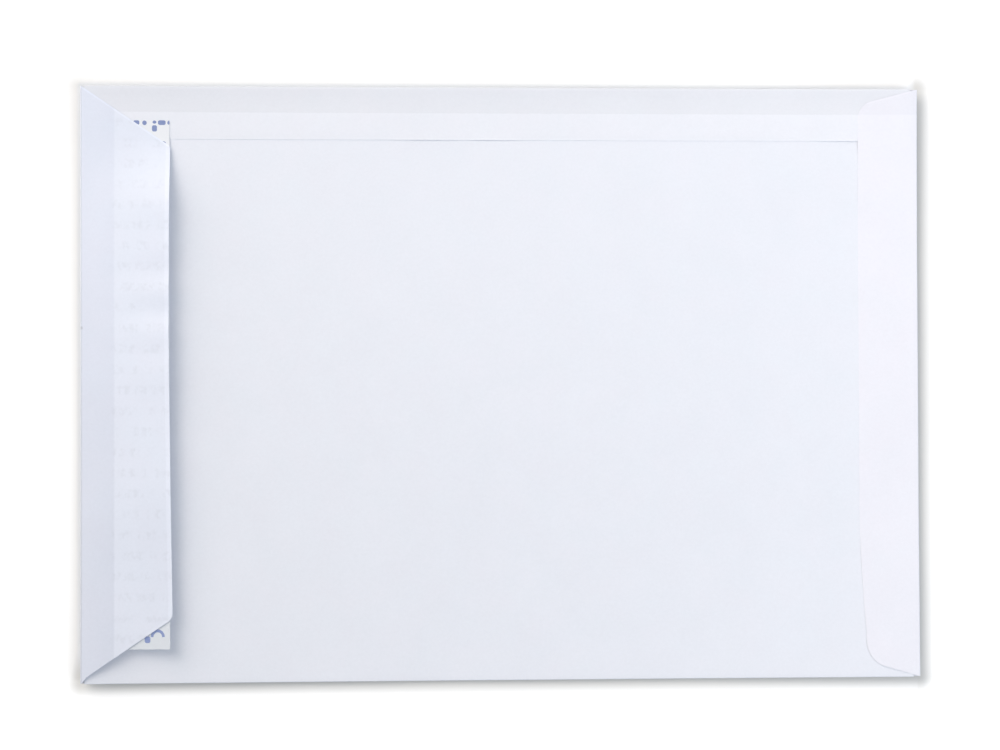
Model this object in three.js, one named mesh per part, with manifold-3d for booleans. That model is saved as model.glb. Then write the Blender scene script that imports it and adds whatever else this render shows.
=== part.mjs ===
// Pocket envelope of white paper, lying on its address side with its back up.
//
// One blank is folded into the pocket: the front panel lies below, the back panel folds over it
// from the long side at -Y, the side flap from +Y and the bottom flap from +X. The seal flap folds
// back over the mouth at -X and stands a little open. Lines of gum close the two seams, and an
// adhesive strip under its release liner waits on the inside of the seal flap.
//
// Millimetres, +Z up. The origin is at the middle of the envelope, on the surface it lies on.

import * as THREE from "three";
import { mergeVertices } from "three/addons/utils/BufferGeometryUtils.js";
import Module from "manifold-3d";

const wasm = await Module();
wasm.setup();

// Format and paper
const ENVELOPE_LENGTH = 324;
const ENVELOPE_WIDTH = 229;
const PAPER_THICKNESS = 0.12;
const POCKET_GAP = 0.3; // between the front and back panels where they meet at a fold

// Side seam: the side flap lies over the edge of the back panel
const SIDE_FLAP_WIDTH = 20.4;
const SEAM_OVERLAP = 10.3;

// Bottom flap, the outermost layer at +X
const BOTTOM_FLAP_DEPTH = 23.2;
const BOTTOM_FLAP_TAPER = 6; // how much narrower each end is at the free edge
const BOTTOM_FLAP_CORNER_RADIUS = 14;
const BOTTOM_FOLD_SETBACK = 2.6; // the layers inside stop this far short of the bottom fold
const STEP_RUN = 8; // length of the ramp by which the bottom flap climbs onto the side flap
const STEP_CLEARANCE = 2; // from the top of that ramp to the side flap's free edge

// Mouth and seal flap at -X
const MOUTH_SETBACK = 1.5; // from the seal fold to the edge of the mouth
const SEAL_FLAP_DEPTH = 34.2;
const SEAL_FLAP_TAPER = 22.9;
const SEAL_FLAP_CORNER_RADIUS = 3;
const FLAP_SIDE_INSET = 0.3; // both flaps start this far in from the long sides

// How the empty envelope lies
const BACK_PUFF = 1.2; // rise of the back panel at its middle
const SEAL_FLAP_LIFT = 4.2; // rise of the seal flap's free edge
const SEAL_FLAP_LIFT_AT_SEAM = 0.8; // the same, at the end over the side seam
const LIFT_RUN = 45; // distance along the flap in which the lift grows
const WAVE_HEIGHT = 0.25;
const WAVE_LENGTH = 58;
const LIFT_CURVE = 1.2; // 1 is a straight flap; more bends it up towards its free edge

// Gum of the two seams
const GUM_THICKNESS = 0.05;
const GUM_CLEARANCE = 0.01;
const GUM_INSET = 2; // from the edges of the paper

// Adhesive strip and release liner of the seal flap
const STRIP_CLEARANCE = 0.08;
const ADHESIVE_THICKNESS = 0.05;
const ADHESIVE_INSET = 2.4; // from the liner's long edges, and from the flap's slanted ends
const LINER_THICKNESS = 0.07;
const LINER_WIDTH = 22;
const LINER_LENGTH = 203;
const LINER_EDGE_INSET = 0.2; // from the flap's free edge to the liner's edge, at the middle
const STRIP_SKEW = 0.6; // sideways drift of each end, because the strip is laid a little askew

// Fineness of the curved surfaces
const PANEL_STEP = 24;
const FLAP_STEP = 8;
const LIFT_STEP = 4; // where the seal flap twists as it comes away from the seam
const FOLD_SEGMENTS = 6;
const CORNER_SEGMENTS = 8;
const GRID = 1e4; // points to the millimetre, so that faces meant to be level are level
const TRIM_MARGIN = 1; // how far a shape that trims or is trimmed reaches past the cut
const FOLD_LAP = 2; // how far a fold's section reaches into the front panel

// Levels of the layers, worked out from the driving dimensions
const halfLength = ENVELOPE_LENGTH / 2;
const halfWidth = ENVELOPE_WIDTH / 2;
const gumGap = GUM_THICKNESS + 2 * GUM_CLEARANCE;
const backLevel = PAPER_THICKNESS + POCKET_GAP;
const sideFlapLevel = backLevel + PAPER_THICKNESS + gumGap;
const raisedLevel = sideFlapLevel + PAPER_THICKNESS + gumGap;
const sideStep = raisedLevel - sideFlapLevel;

// Places of the edges
const mouthX = -halfLength + MOUTH_SETBACK;
const hiddenEndX = halfLength - BOTTOM_FOLD_SETBACK;
const bottomFlapEdgeX = halfLength - BOTTOM_FLAP_DEPTH;
const sealFlapEdgeX = -halfLength + SEAL_FLAP_DEPTH;
const sideFlapEdgeY = halfWidth - SIDE_FLAP_WIDTH;
const backPanelEdgeY = sideFlapEdgeY + SEAM_OVERLAP;
const stepTopY = sideFlapEdgeY - STEP_CLEARANCE;
const stepFootY = stepTopY - STEP_RUN;
const liftStartY = halfWidth - SEAL_FLAP_TAPER / 2;
const linerEndX = sealFlapEdgeX - LINER_EDGE_INSET;
const linerStartX = linerEndX - LINER_WIDTH;

// Centres of the folds: a layer that lies at a level turns around half of it
const turnRadius = (level) => level / 2;
const outerRadius = (level) => (level + PAPER_THICKNESS) / 2;
const backFoldY = -halfWidth + outerRadius(backLevel);
const sideFoldY = halfWidth - outerRadius(sideFlapLevel);
const sealFoldX = -halfLength + outerRadius(raisedLevel);
const bottomFoldX = halfLength - outerRadius(sideFlapLevel);
const middle = PAPER_THICKNESS / 2;

const clamp01 = (value) => Math.min(Math.max(value, 0), 1);
const smooth = (value) => {
  const t = clamp01(value);
  return t * t * (3 - 2 * t);
};

// The back panel's rise: nothing at the folds, seams and mouth, most in the middle
function puff(x, y) {
  const u = clamp01((x - mouthX) / (bottomFlapEdgeX - mouthX));
  const v = clamp01((y - backFoldY) / (sideFlapEdgeY - backFoldY));
  return BACK_PUFF * Math.sin(Math.PI * u) * Math.sin(Math.PI * v);
}

// The seal flap's rise above its level at the fold
function sealLift(x, y) {
  const reach = clamp01((x - sealFoldX) / (sealFlapEdgeX - sealFoldX));
  const grown = smooth((liftStartY - y) / LIFT_RUN);
  const lift = SEAL_FLAP_LIFT_AT_SEAM + (SEAL_FLAP_LIFT - SEAL_FLAP_LIFT_AT_SEAM) * grown;
  const wave = WAVE_HEIGHT * grown * Math.sin((2 * Math.PI * y) / WAVE_LENGTH);
  return lift * Math.pow(reach, LIFT_CURVE) + wave * reach;
}

// The bottom flap's climb onto the side flap, for its layer beyond the fold
function seamStep(x, y) {
  const away = clamp01((bottomFoldX - x) / (bottomFoldX - hiddenEndX));
  const climbed = clamp01((y - stepFootY) / STEP_RUN);
  return sideStep * away * climbed;
}

// Places from start to end, at most a step apart
function stations(start, end, step) {
  const count = Math.max(1, Math.ceil(Math.abs(end - start) / step));
  return Array.from({ length: count + 1 }, (_, i) => start + ((end - start) * i) / count);
}

// Start, end and the given places between them
const within = (places, start, end) => [
  start, ...places.filter((place) => place > start && place < end), end,
];

// The bottom flap and its gum bend at the same places, so they stay parallel
const seamPlacesY = [-halfWidth, stepFootY, stepTopY, halfWidth];

// So do the seal flap and the strips under it
const sealPlacesX = stations(sealFoldX, sealFlapEdgeX, LIFT_STEP);
const sealPlacesY = [
  ...stations(-halfWidth, liftStartY - LIFT_RUN, FLAP_STEP),
  ...stations(liftStartY - LIFT_RUN, liftStartY, LIFT_STEP).slice(1),
  halfWidth,
];

// A straight stretch of the sheet's section
const line = (x0, y0, x1, y1) => ({
  curve: new THREE.LineCurve(new THREE.Vector2(x0, y0), new THREE.Vector2(x1, y1)),
  steps: 1,
});

// A level stretch that has a point at each of the given places
const levelRun = (places, height) => places.slice(1).map(
  (place, i) => line(places[i], height, place, height),
);

// A half turn of the sheet around a fold to the left or right of its centre, up or down
function foldTurn(centre, level, side, way) {
  const below = -Math.PI / 2;
  const above = side === "right" ? Math.PI / 2 : (-3 * Math.PI) / 2;
  const [start, end] = way === "up" ? [below, above] : [above, below];
  const radius = turnRadius(level);
  return {
    curve: new THREE.EllipseCurve(
      centre, radius + middle, radius, radius, start, end, (side === "right") !== (way === "up"),
    ),
    steps: FOLD_SEGMENTS,
  };
}

// Closed section of a sheet of the given thickness along smoothly joined stretches
function sheetSection(stretches, thickness) {
  const left = [];
  const right = [];
  stretches.forEach(({ curve, steps }, index) => {
    for (let i = index === 0 ? 0 : 1; i <= steps; i += 1) {
      const point = curve.getPoint(i / steps);
      const tangent = curve.getTangent(i / steps);
      const offset = new THREE.Vector2(-tangent.y, tangent.x).multiplyScalar(thickness / 2);
      left.push(point.clone().add(offset));
      right.push(point.clone().sub(offset));
    }
  });
  return new THREE.Shape([...right, ...left.reverse()]);
}

// Outline in plan whose corners are [x, y, radius]
function roundedOutline(corners) {
  const outline = new THREE.Shape();
  corners.forEach(([x, y, radius], i) => {
    const corner = new THREE.Vector2(x, y);
    const [beforeX, beforeY] = corners[(i + corners.length - 1) % corners.length];
    const [afterX, afterY] = corners[(i + 1) % corners.length];
    const before = new THREE.Vector2(beforeX, beforeY).sub(corner).normalize();
    const after = new THREE.Vector2(afterX, afterY).sub(corner).normalize();
    const half = Math.acos(before.dot(after)) / 2;
    const start = before.clone().multiplyScalar(radius / Math.tan(half)).add(corner);
    const end = after.clone().multiplyScalar(radius / Math.tan(half)).add(corner);
    if (i === 0) outline.moveTo(start.x, start.y);
    else outline.lineTo(start.x, start.y);
    if (radius > 0) {
      const toCentre = before.clone().add(after).normalize().multiplyScalar(radius / Math.sin(half));
      const centre = toCentre.add(corner);
      const from = start.clone().sub(centre).angle();
      const to = end.clone().sub(centre).angle();
      outline.absarc(centre.x, centre.y, radius, from, to, before.cross(after) > 0);
    }
  });
  outline.closePath();
  return outline;
}

const extrude = (shape, depth, steps = 1) => new THREE.ExtrudeGeometry(shape, {
  depth, steps, bevelEnabled: false, curveSegments: CORNER_SEGMENTS,
});

// Section run through the given places, before it is turned into its direction
function run(shape, places) {
  const spans = places.length - 1;
  const geometry = extrude(shape, spans, spans);
  const vertices = geometry.getAttribute("position");
  for (let i = 0; i < vertices.count; i += 1) {
    vertices.setZ(i, places[Math.round(vertices.getZ(i))]);
  }
  return geometry;
}

// Section in YZ, run along X
function alongX(shape, places) {
  return run(shape, places).rotateX(Math.PI / 2).rotateZ(Math.PI / 2);
}

// Section in XZ, run along Y
function acrossY(shape, places) {
  return run(shape, places.map((y) => -y).reverse()).rotateX(Math.PI / 2);
}

function raised(geometry, rise) {
  const place = geometry.getAttribute("position");
  for (let i = 0; i < place.count; i += 1) {
    place.setZ(i, place.getZ(i) + rise(place.getX(i), place.getY(i), place.getZ(i)));
  }
  return geometry;
}

// Closed mesh as a solid, with its points on the grid
function solid(geometry) {
  const bare = geometry.clone();
  bare.deleteAttribute("normal");
  bare.deleteAttribute("uv");
  const place = bare.getAttribute("position");
  place.array.forEach((value, i) => {
    place.array[i] = Math.round(value * GRID) / GRID;
  });
  const merged = mergeVertices(bare, 1 / GRID);
  return new wasm.Manifold(new wasm.Mesh({
    numProp: 3,
    vertProperties: Float32Array.from(merged.getAttribute("position").array),
    triVerts: Uint32Array.from(merged.getIndex().array),
  }));
}

function geometryOf(body) {
  const mesh = body.getMesh();
  const geometry = new THREE.BufferGeometry();
  geometry.setAttribute("position", new THREE.BufferAttribute(mesh.vertProperties, 3));
  geometry.setIndex(new THREE.BufferAttribute(mesh.triVerts, 1));
  geometry.computeVertexNormals();
  return geometry;
}

// Upright block with the given plan, tall enough to trim any layer
function trimmer(outline) {
  const top = raisedLevel + PAPER_THICKNESS + SEAL_FLAP_LIFT + WAVE_HEIGHT;
  return solid(extrude(outline, top + 2 * TRIM_MARGIN).translate(0, 0, -TRIM_MARGIN));
}

// Plan of the bottom flap, drawn in by the margin on all but the fold side
function bottomFlapPlan(margin) {
  const free = bottomFlapEdgeX + margin;
  const wide = halfWidth - FLAP_SIDE_INSET - margin;
  const narrow = wide - BOTTOM_FLAP_TAPER;
  const radius = BOTTOM_FLAP_CORNER_RADIUS - margin;
  return roundedOutline([
    [halfLength + TRIM_MARGIN, -wide, 0],
    [halfLength + TRIM_MARGIN, wide, 0],
    [bottomFoldX, wide, 0],
    [free, narrow, radius],
    [free, -narrow, radius],
    [bottomFoldX, -wide, 0],
  ]);
}

// Plan of the seal flap, drawn in by the margin on all but the fold side
function sealFlapPlan(margin) {
  const free = sealFlapEdgeX - margin;
  const wide = halfWidth - FLAP_SIDE_INSET - margin;
  const narrow = wide - SEAL_FLAP_TAPER;
  return roundedOutline([
    [-halfLength - TRIM_MARGIN, wide, 0],
    [-halfLength - TRIM_MARGIN, -wide, 0],
    [sealFoldX, -wide, 0],
    [free, -narrow, SEAL_FLAP_CORNER_RADIUS],
    [free, narrow, SEAL_FLAP_CORNER_RADIUS],
    [sealFoldX, wide, 0],
  ]);
}

// Front panel between the folds, the tube of back panel and side flap, and the two end flaps
function envelopeSheet() {
  const panel = solid(new THREE.BoxGeometry(
    bottomFoldX - sealFoldX, sideFoldY - backFoldY, PAPER_THICKNESS,
  ).translate((bottomFoldX + sealFoldX) / 2, (sideFoldY + backFoldY) / 2, middle));

  const tubeSection = sheetSection([
    line(backPanelEdgeY, backLevel + middle, sideFlapEdgeY, backLevel + middle),
    ...levelRun(stations(sideFlapEdgeY, backFoldY, PANEL_STEP), backLevel + middle),
    foldTurn(backFoldY, backLevel, "left", "down"),
    line(backFoldY, middle, sideFoldY, middle),
    foldTurn(sideFoldY, sideFlapLevel, "right", "up"),
    line(sideFoldY, sideFlapLevel + middle, sideFlapEdgeY, sideFlapLevel + middle),
  ], PAPER_THICKNESS);
  const tube = solid(raised(
    alongX(tubeSection, [...stations(mouthX, bottomFlapEdgeX, PANEL_STEP), hiddenEndX]),
    (x, y, z) => (z > turnRadius(backLevel) + middle ? puff(x, y) : 0),
  ));

  const bottomSection = sheetSection([
    line(bottomFoldX - FOLD_LAP, middle, bottomFoldX, middle),
    foldTurn(bottomFoldX, sideFlapLevel, "right", "up"),
    line(bottomFoldX, sideFlapLevel + middle, hiddenEndX, sideFlapLevel + middle),
    line(hiddenEndX, sideFlapLevel + middle, bottomFlapEdgeX - TRIM_MARGIN, sideFlapLevel + middle),
  ], PAPER_THICKNESS);
  const bottomFlap = solid(raised(
    acrossY(bottomSection, seamPlacesY),
    (x, y, z) => (z > turnRadius(sideFlapLevel) + middle ? seamStep(x, y) : 0),
  )).intersect(trimmer(bottomFlapPlan(0)));

  const sealSection = sheetSection([
    line(sealFoldX + FOLD_LAP, middle, sealFoldX, middle),
    foldTurn(sealFoldX, raisedLevel, "left", "up"),
    ...levelRun([...sealPlacesX, sealFlapEdgeX + TRIM_MARGIN], raisedLevel + middle),
  ], PAPER_THICKNESS);
  const sealFlap = solid(raised(
    acrossY(sealSection, sealPlacesY),
    (x, y, z) => (z > turnRadius(raisedLevel) + middle ? sealLift(x, y) : 0),
  )).intersect(trimmer(sealFlapPlan(0)));

  return geometryOf(panel.add(tube).add(bottomFlap).add(sealFlap));
}

// Line of gum between the back panel and the side flap
function sideSeamGum() {
  const startX = mouthX + GUM_INSET;
  const endX = hiddenEndX - GUM_INSET;
  const width = SEAM_OVERLAP - 2 * GUM_INSET;
  const level = backLevel + PAPER_THICKNESS + GUM_CLEARANCE;
  return new THREE.BoxGeometry(endX - startX, width, GUM_THICKNESS).translate(
    (startX + endX) / 2, (sideFlapEdgeY + backPanelEdgeY) / 2, level + GUM_THICKNESS / 2,
  );
}

// Line of gum under the bottom flap, which climbs with it over the side flap
function bottomSeamGum() {
  const level = sideFlapLevel - GUM_CLEARANCE - GUM_THICKNESS / 2;
  const section = sheetSection(
    [line(bottomFlapEdgeX, level, hiddenEndX - GUM_INSET, level)], GUM_THICKNESS,
  );
  const strip = raised(acrossY(section, seamPlacesY), seamStep);
  return geometryOf(solid(strip).intersect(trimmer(bottomFlapPlan(GUM_INSET))));
}

// Strip that hangs the given depth below the inside of the seal flap, a little askew
function flapStrip(startX, endX, half, depth, thickness) {
  const level = raisedLevel - depth - thickness / 2;
  const section = sheetSection(levelRun(within(sealPlacesX, startX, endX), level), thickness);
  const strip = acrossY(section, within(sealPlacesY, -half, half));
  const vertices = strip.getAttribute("position");
  for (let i = 0; i < vertices.count; i += 1) {
    vertices.setX(i, vertices.getX(i) + (STRIP_SKEW * vertices.getY(i)) / (LINER_LENGTH / 2));
  }
  return raised(strip, sealLift);
}

// Pressure-sensitive adhesive on the inside of the seal flap
function sealAdhesive() {
  const startX = linerStartX + ADHESIVE_INSET;
  const endX = linerEndX - ADHESIVE_INSET;
  const half = LINER_LENGTH / 2 - ADHESIVE_INSET;
  const strip = flapStrip(startX, endX, half, STRIP_CLEARANCE, ADHESIVE_THICKNESS);
  return geometryOf(solid(strip).intersect(trimmer(sealFlapPlan(ADHESIVE_INSET))));
}

// Release liner over the adhesive, with its square ends past the flap
function releaseLiner() {
  const depth = 2 * STRIP_CLEARANCE + ADHESIVE_THICKNESS;
  return flapStrip(linerStartX, linerEndX, LINER_LENGTH / 2, depth, LINER_THICKNESS);
}

const paper = new THREE.MeshStandardMaterial({ color: 0xeceff6, roughness: 0.85, metalness: 0 });
const gum = new THREE.MeshStandardMaterial({ color: 0xe6e0cc, roughness: 0.5, metalness: 0 });
const adhesive = new THREE.MeshStandardMaterial({ color: 0xe9e6da, roughness: 0.3, metalness: 0 });
const linerPaper = new THREE.MeshStandardMaterial({ color: 0xe4e3df, roughness: 0.45, metalness: 0 });

const envelope = new THREE.Group();

function place(name, geometry, material) {
  const mesh = new THREE.Mesh(geometry, material);
  mesh.name = name;
  envelope.add(mesh);
}

place("envelope_sheet", envelopeSheet(), paper);
place("side_seam_gum", sideSeamGum(), gum);
place("bottom_seam_gum", bottomSeamGum(), gum);
place("seal_adhesive", sealAdhesive(), adhesive);
place("release_liner", releaseLiner(), linerPaper);

export default envelope;
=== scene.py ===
# %% [markdown]
# # A paper pocket envelope, back side up
# The real thing is one die-cut sheet of white paper. It is folded over at four places: the
# back panel and the side flap meet in a glued seam, the bottom flap closes the right end, and
# the seal flap lies loosely over the mouth at the left, with a release liner on its inside.
# This script makes it the same way: a flat blank is folded by Geometry Nodes. All lengths
# below are in millimetres, and the CAD model that is loaded as the frame gives the place.

# %% The tools and the frame
import math

import bmesh
import bpy
from mathutils import Euler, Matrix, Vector


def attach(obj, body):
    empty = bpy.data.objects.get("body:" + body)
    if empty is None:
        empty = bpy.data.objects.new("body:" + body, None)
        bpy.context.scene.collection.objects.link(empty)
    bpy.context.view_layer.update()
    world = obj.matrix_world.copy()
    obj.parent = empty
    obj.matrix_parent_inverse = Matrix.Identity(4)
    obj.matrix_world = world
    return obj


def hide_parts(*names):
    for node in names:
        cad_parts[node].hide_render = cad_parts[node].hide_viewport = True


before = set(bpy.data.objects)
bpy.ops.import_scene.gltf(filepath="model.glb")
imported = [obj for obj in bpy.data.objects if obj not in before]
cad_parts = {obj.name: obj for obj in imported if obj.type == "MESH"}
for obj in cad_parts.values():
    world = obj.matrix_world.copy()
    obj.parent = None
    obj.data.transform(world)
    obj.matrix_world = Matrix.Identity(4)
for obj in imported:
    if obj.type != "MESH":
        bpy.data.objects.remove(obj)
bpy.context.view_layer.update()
MM = 0.001
print("CAD nodes:", sorted(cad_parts))

# %% [markdown]
# ## Sizes
# A C4 envelope is 324 x 229 mm. The levels are the heights of a layer's underside where it
# lies on the layers below, with the pocket a little open and gum in the seams. A layer that
# lies at a level comes over its fold in a half turn, whose radius is half of that level.

# %% Sizes of the sheet
HALF_LENGTH = 324 / 2
HALF_WIDTH = 229 / 2
PAPER = 0.12
BACK_LEVEL = 0.42
SIDE_LEVEL = 0.61
RAISED_LEVEL = 0.80
SEAL_FOLD_X = -HALF_LENGTH + (RAISED_LEVEL + PAPER) / 2
BOTTOM_FOLD_X = HALF_LENGTH - (SIDE_LEVEL + PAPER) / 2
BACK_FOLD_Y = -HALF_WIDTH + (BACK_LEVEL + PAPER) / 2
SIDE_FOLD_Y = HALF_WIDTH - (SIDE_LEVEL + PAPER) / 2
MOUTH_X = -160.5
HIDDEN_END_X = 159.4
SEAL_EDGE_X = -127.8
BOTTOM_EDGE_X = 138.8
SIDE_EDGE_Y = 94.1
BACK_EDGE_Y = 104.4
SEAL_REACH = SEAL_EDGE_X - SEAL_FOLD_X
BOTTOM_REACH = BOTTOM_FOLD_X - BOTTOM_EDGE_X
SEAL_TURN = math.pi * RAISED_LEVEL / 2
BOTTOM_TURN = math.pi * SIDE_LEVEL / 2
print("seal flap", round(SEAL_REACH, 1), "mm deep, bottom flap", round(BOTTOM_REACH, 1))

# %% Sizes of the seal flap's strips
LINER_START_X = -150.0
LINER_END_X = -127.9
LINER_HALF = 101.2
ADHESIVE_INSET = 2.4
STRIP_GAP = 0.08
ADHESIVE = 0.05
LINER = 0.07
SKEW = -0.2 / LINER_HALF
print("liner", round(LINER_END_X - LINER_START_X, 1), "x", 2 * LINER_HALF, "mm")

# %% [markdown]
# ## A way to write node trees as maths
# Both Geometry Nodes and materials are trees of small steps. The Value class wraps one socket
# so that a sum or a product in Python adds its Math node. The Maker adds any other node from
# its type, its settings and the values or links of its sockets.

# %% Values and the maker
class Value:
    """A socket that takes part in sums: each operator adds a Math node to its tree."""

    def __init__(self, maker, socket):
        self.maker = maker
        self.socket = socket

    def out(self, name):
        """Another output of the same node."""
        found = [s for s in self.socket.node.outputs if s.name == name and s.enabled]
        return Value(self.maker, found[0])

    def __add__(self, other):
        return self.maker.math("ADD", self, other)

    def __sub__(self, other):
        return self.maker.math("SUBTRACT", self, other)

    def __mul__(self, other):
        return self.maker.math("MULTIPLY", self, other)

    def __truediv__(self, other):
        return self.maker.math("DIVIDE", self, other)

    def __pow__(self, other):
        return self.maker.math("POWER", self, other)

    def __lt__(self, other):
        return self.maker.math("LESS_THAN", self, other)

    def __gt__(self, other):
        return self.maker.math("GREATER_THAN", self, other)

    def __radd__(self, other):
        return self.maker.math("ADD", other, self)

    def __rsub__(self, other):
        return self.maker.math("SUBTRACT", other, self)

    def __rmul__(self, other):
        return self.maker.math("MULTIPLY", other, self)

    def __rtruediv__(self, other):
        return self.maker.math("DIVIDE", other, self)


class Maker:
    """Adds nodes to one tree."""

    def __init__(self, tree):
        self.tree = tree
        self.sockets = {}

    def node(self, kind, settings=None, values=None, output=0):
        """A node of any type: its settings come first, then its sockets' values or links."""
        made = self.tree.nodes.new(kind)
        for name, setting in (settings or {}).items():
            setattr(made, name, setting)
        for key, value in (values or {}).items():
            self.feed(self.find(made.inputs, key), value)
        if not made.outputs:
            return made
        return Value(self, self.find(made.outputs, output))

    def find(self, sockets, key):
        """A socket by its name, or by its place among those in use."""
        if isinstance(key, int):
            return [s for s in sockets if s.enabled][key]
        return [s for s in sockets if s.enabled and s.name == key][0]

    def feed(self, socket, value):
        if isinstance(value, Value):
            self.tree.links.new(value.socket, socket)
        else:
            socket.default_value = value

    def math(self, operation, *values):
        return self.node("ShaderNodeMath", {"operation": operation}, dict(enumerate(values)))

    def clamp(self, value, low=0.0, high=1.0):
        return self.node("ShaderNodeClamp", {}, {"Value": value, "Min": low, "Max": high})

    def ease(self, value, start, end):
        """0 at the start, 1 at the end, eased in between."""
        settings = {"interpolation_type": "SMOOTHSTEP"}
        return self.node("ShaderNodeMapRange", settings, {
            "Value": value, "From Min": start, "From Max": end,
        })

    def vector(self, x, y, z):
        return self.node("ShaderNodeCombineXYZ", {}, {"X": x, "Y": y, "Z": z})

    def point(self):
        """The x and y of each point of a Geometry Nodes tree."""
        x = self.node("ShaderNodeSeparateXYZ", {}, {
            "Vector": self.node("GeometryNodeInputPosition"),
        }, "X")
        return x, x.out("Y")

    def noise(self, place, scale, detail=2.0, roughness=0.5):
        """Noise around 0, from about -0.5 to 0.5."""
        return self.node("ShaderNodeTexNoise", {}, {
            "Vector": place, "Scale": scale, "Detail": detail, "Roughness": roughness,
        }) - 0.5


# %% Geometry Nodes trees with named inputs
SOCKET_KINDS = {
    "geometry": "NodeSocketGeometry",
    "number": "NodeSocketFloat",
    "count": "NodeSocketInt",
    "material": "NodeSocketMaterial",
}


def numbers(*labels):
    """Sockets that each hold a number, as (name, kind)."""
    return [(label, "number") for label in labels]


def new_tree(name, inputs, outputs):
    """An empty tree whose inputs and outputs are (name, kind), and its maker."""
    tree = bpy.data.node_groups.new(name, "GeometryNodeTree")
    for label, kind in inputs:
        tree.interface.new_socket(label, in_out="INPUT", socket_type=SOCKET_KINDS[kind])
    for label, kind in outputs:
        tree.interface.new_socket(label, in_out="OUTPUT", socket_type=SOCKET_KINDS[kind])
    maker = Maker(tree)
    entry = tree.nodes.new("NodeGroupInput")
    for label, _ in inputs:
        maker.sockets[label] = Value(maker, entry.outputs[label])
    return tree, maker


def close_tree(maker, results):
    """Links the tree's results, named as its outputs."""
    leave = maker.tree.nodes.new("NodeGroupOutput")
    for label, value in results.items():
        maker.tree.links.new(value.socket, leave.inputs[label])


def finished(maker, geometry, place, material):
    """The geometry at its place, brought from millimetres to metres, real and painted."""
    moved = maker.node("GeometryNodeSetPosition", {}, {
        "Geometry": geometry, "Position": place,
    })
    scaled = maker.node("GeometryNodeTransform", {}, {
        "Geometry": moved, "Scale": (MM, MM, MM),
    })
    real = maker.node("GeometryNodeRealizeInstances", {}, {"Geometry": scaled})
    return maker.node("GeometryNodeSetMaterial", {}, {
        "Geometry": real, "Material": maker.sockets[material],
    })


# %% Objects and their modifiers
SHARP_ANGLE = math.radians(40)


def new_object(name, mesh):
    obj = bpy.data.objects.new(name, mesh)
    bpy.context.scene.collection.objects.link(obj)
    return obj


def add_nodes_modifier(obj, tree, values):
    """Puts the tree on the object and sets its inputs by the sockets' identifiers."""
    modifier = obj.modifiers.new(tree.name, "NODES")
    modifier.node_group = tree
    for item in tree.interface.items_tree:
        if item.in_out == "INPUT" and item.name in values:
            modifier[item.identifier] = values[item.name]


def settle(obj, thickness):
    """Thickens a sheet to both sides and makes it, with its modifiers, a plain mesh."""
    wall = obj.modifiers.new("Thickness", "SOLIDIFY")
    wall.thickness = thickness * MM
    wall.offset = 0
    depsgraph = bpy.context.evaluated_depsgraph_get()
    evaluated = obj.evaluated_get(depsgraph)
    mesh = bpy.data.meshes.new_from_object(
        evaluated, preserve_all_data_layers=True, depsgraph=depsgraph,
    )
    obj.modifiers.clear()
    obj.data = mesh
    mesh.name = obj.name
    for polygon in mesh.polygons:
        polygon.use_smooth = True
    mesh.set_sharp_from_angle(angle=SHARP_ANGLE)
    triangles = sum(len(p.vertices) - 2 for p in mesh.polygons)
    print(obj.name, "has", triangles, "triangles")
    return obj


# %% [markdown]
# ## The camera
# The photo looks straight down on the back of the envelope from about a metre, a little off
# the upright. The camera is placed first, so that each later step can be compared with the
# photo. The image is taken to be 1000 x 750.

# %% Camera
CAMERA_DISTANCE = 967.6
CAMERA_AIM = Vector((-1.15, 3.2, 0.0)) * MM
CAMERA_TURN = Euler([math.radians(a) for a in (1.03, -3.3, -0.18)], "XYZ")

camera_data = bpy.data.cameras.new("photo_camera")
camera_data.sensor_width = 36
camera_data.lens = 90
camera_data.clip_start = 0.01
camera_data.clip_end = 20
camera = new_object("photo_camera", camera_data)
camera.rotation_euler = CAMERA_TURN
straight_back = CAMERA_TURN.to_matrix() @ Vector((0, 0, CAMERA_DISTANCE * MM))
camera.location = CAMERA_AIM + straight_back
bpy.context.scene.camera = camera
print("camera at", [round(v, 4) for v in camera.location])

# %% [markdown]
# ## The flat blank
# On the machine a knife cuts a cross out of the paper: the front panel in the middle, the
# back panel and the side flap on its long sides, and two tapered flaps with rounded corners on
# its ends. Here the cross is a net of four-sided faces. A flap's net is as wide as its outline
# at each row, so its border needs no trimming. The rows are closest at the folds, which have
# to bend, and at the rounded corners. The flat places are kept as a UV map, for the materials.

# %% Places of the net's rows
FOLD_ROWS = 12
PANEL_STEP = 3.0
SIDE_STEP = 2.0
FLAP_STEP = 1.8
SEAM_STEP = 1.5
SEAL_EDGE_ZONE = 3.6
SEAL_EDGE_ROWS = 12
BOTTOM_EDGE_ZONE = 15.0
BOTTOM_EDGE_ROWS = 20


def stations(start, end, step):
    """Places from start to end, at most a step apart."""
    count = max(1, math.ceil(abs(end - start) / step - 1e-6))
    return [start + (end - start) * i / count for i in range(count + 1)]


def fold_rows(level):
    """Distances beyond a fold at which its half turn gets a row."""
    return stations(0, math.pi * level / 2, math.pi * level / 2 / FOLD_ROWS)


def edge_rows(reach, zone, count):
    """Distances from a fold's far side to a free edge, closest in the zone at the edge."""
    far = stations(0, reach - zone, FLAP_STEP)
    near = [
        reach - zone * (1 - math.sin(math.pi / 2 * i / count))
        for i in range(1, count + 1)
    ]
    return far + near


columns = [SEAL_FOLD_X] + stations(MOUTH_X, HIDDEN_END_X, PANEL_STEP) + [BOTTOM_FOLD_X]
pocket_columns = columns[1:-1]
rows = stations(BACK_FOLD_Y, SIDE_FOLD_Y, SIDE_STEP)
print(len(columns), "columns and", len(rows), "rows in the front panel")

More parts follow.
